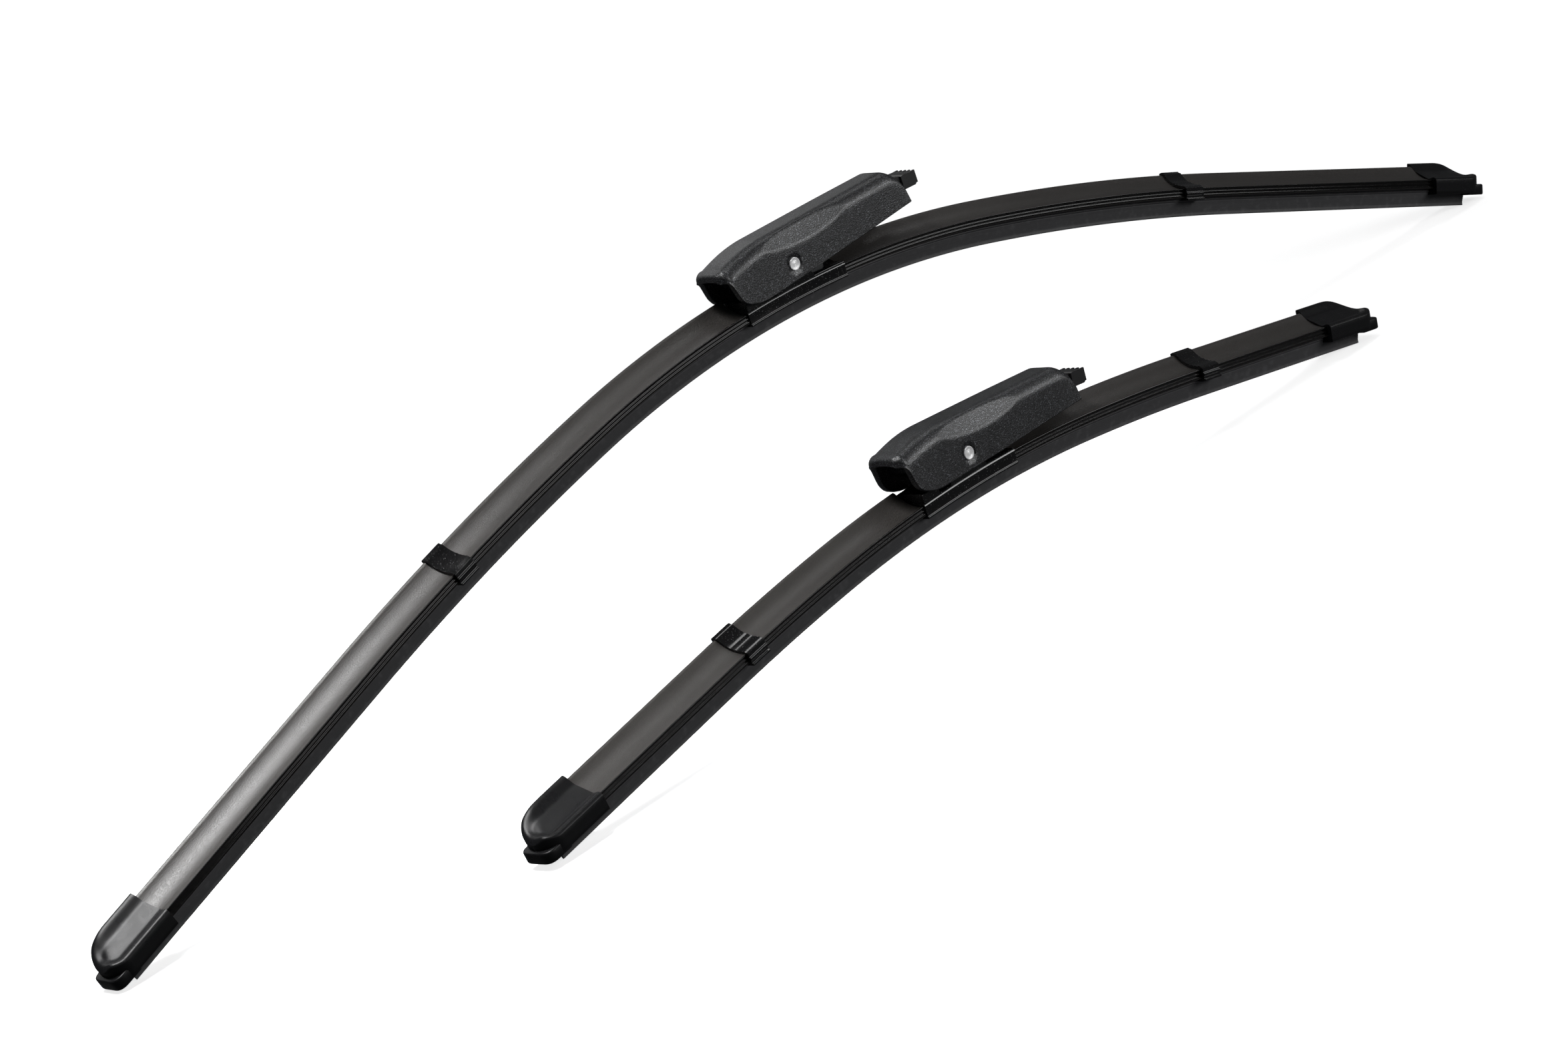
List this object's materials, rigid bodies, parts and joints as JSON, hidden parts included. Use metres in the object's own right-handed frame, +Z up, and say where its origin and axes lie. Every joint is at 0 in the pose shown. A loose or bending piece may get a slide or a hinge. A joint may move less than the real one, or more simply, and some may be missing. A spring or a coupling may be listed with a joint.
{
  "type": "windshield wiper assembly",
  "caption": "Pair of flat beam wiper blades standing as arches: steel-railed rubber lips, hollow-faced spoilers, clips, end caps and riveted connectors with sprung arm latches.",
  "frame": {"origin": "on the ground, at the middle of the pair's bounding box seen from above", "axes": "+Z up from the ground the blades stand on, +X along the long blade towards its connectors' arm sockets, -Y towards the short blade and the spoilers' hollow faces"},
  "size_m": [0.6404, 0.1075, 0.1137],
  "materials": {
    "rubber": "matte moulded rubber with a fine dusting",
    "rail_steel": "rolled spring steel strip",
    "spoiler": "satin extruded rubber, warm dark grey",
    "cap_plastic": "fine-grained black moulded plastic",
    "clip_black": "glossy black enamelled claw",
    "clamp_black": "glossy black seat",
    "rivet_steel": "bright turned steel with dished heads",
    "bush_nylon": "natural nylon",
    "cover_plastic": "black plastic with a spark-eroded grain",
    "insert_plastic": "smooth black acetal",
    "lever_plastic": "ribbed black acetal",
    "pin_steel": "ground steel pin",
    "spring_steel": "thin spring steel leaf"
  },
  "bodies": {
    "long_blade": {"long_wiping_rubber": "rubber", "long_rail_front": "rail_steel", "long_rail_rear": "rail_steel", "long_spoiler_left": "spoiler", "long_spoiler_right": "spoiler", "long_end_cap_left": "cap_plastic", "long_end_cap_right": "cap_plastic", "long_clip_left": "clip_black", "long_clip_right": "clip_black", "long_base_clamp": "clamp_black", "long_pivot_rivet": "rivet_steel"},
    "long_connector": {"long_pivot_bush": "bush_nylon", "long_connector_cover": "cover_plastic", "long_adapter_insert": "insert_plastic", "long_lever_pin": "pin_steel", "long_return_spring": "spring_steel"},
    "long_lever": {"long_release_lever": "lever_plastic"},
    "short_blade": {"short_wiping_rubber": "rubber", "short_rail_front": "rail_steel", "short_rail_rear": "rail_steel", "short_spoiler_left": "spoiler", "short_spoiler_right": "spoiler", "short_end_cap_left": "cap_plastic", "short_end_cap_right": "cap_plastic", "short_clip_left": "clip_black", "short_clip_right": "clip_black", "short_base_clamp": "clamp_black", "short_pivot_rivet": "rivet_steel"},
    "short_connector": {"short_pivot_bush": "bush_nylon", "short_connector_cover": "cover_plastic", "short_adapter_insert": "insert_plastic", "short_lever_pin": "pin_steel", "short_return_spring": "spring_steel"},
    "short_lever": {"short_release_lever": "lever_plastic"}
  },
  "joints": [
    {"name": "long_connector_pivot", "type": "hinge", "parent": "long_blade", "child": "long_connector", "pos_m": [0, 0.04488, 0.10065], "axis": [0, -1, 0], "range_deg": [-6.5, 8]},
    {"name": "long_release_press", "type": "hinge", "parent": "long_connector", "child": "long_lever", "pos_m": [0.03284, 0.04488, 0.11002], "axis": [0, 1, 0], "range_deg": [0, 5], "stiffness_Nm_per_rad": 0.2, "springref_deg": -2.86, "deforming": ["long_return_spring"]},
    {"name": "short_blade_apart", "type": "slide", "parent": "long_blade", "child": "short_blade", "axis": [0, -1, 0], "range_m": [0, 0.15]},
    {"name": "short_connector_pivot", "type": "hinge", "parent": "short_blade", "child": "short_connector", "pos_m": [-0.02, -0.03312, 0.04337], "axis": [0.0698, -0.9976, 0], "range_deg": [-1.5, 13]},
    {"name": "short_release_press", "type": "hinge", "parent": "short_connector", "child": "short_lever", "pos_m": [0.01345, -0.03078, 0.04985], "axis": [-0.0698, 0.9976, 0], "range_deg": [0, 5], "stiffness_Nm_per_rad": 0.2, "springref_deg": -2.86, "deforming": ["short_return_spring"]}
  ]
}
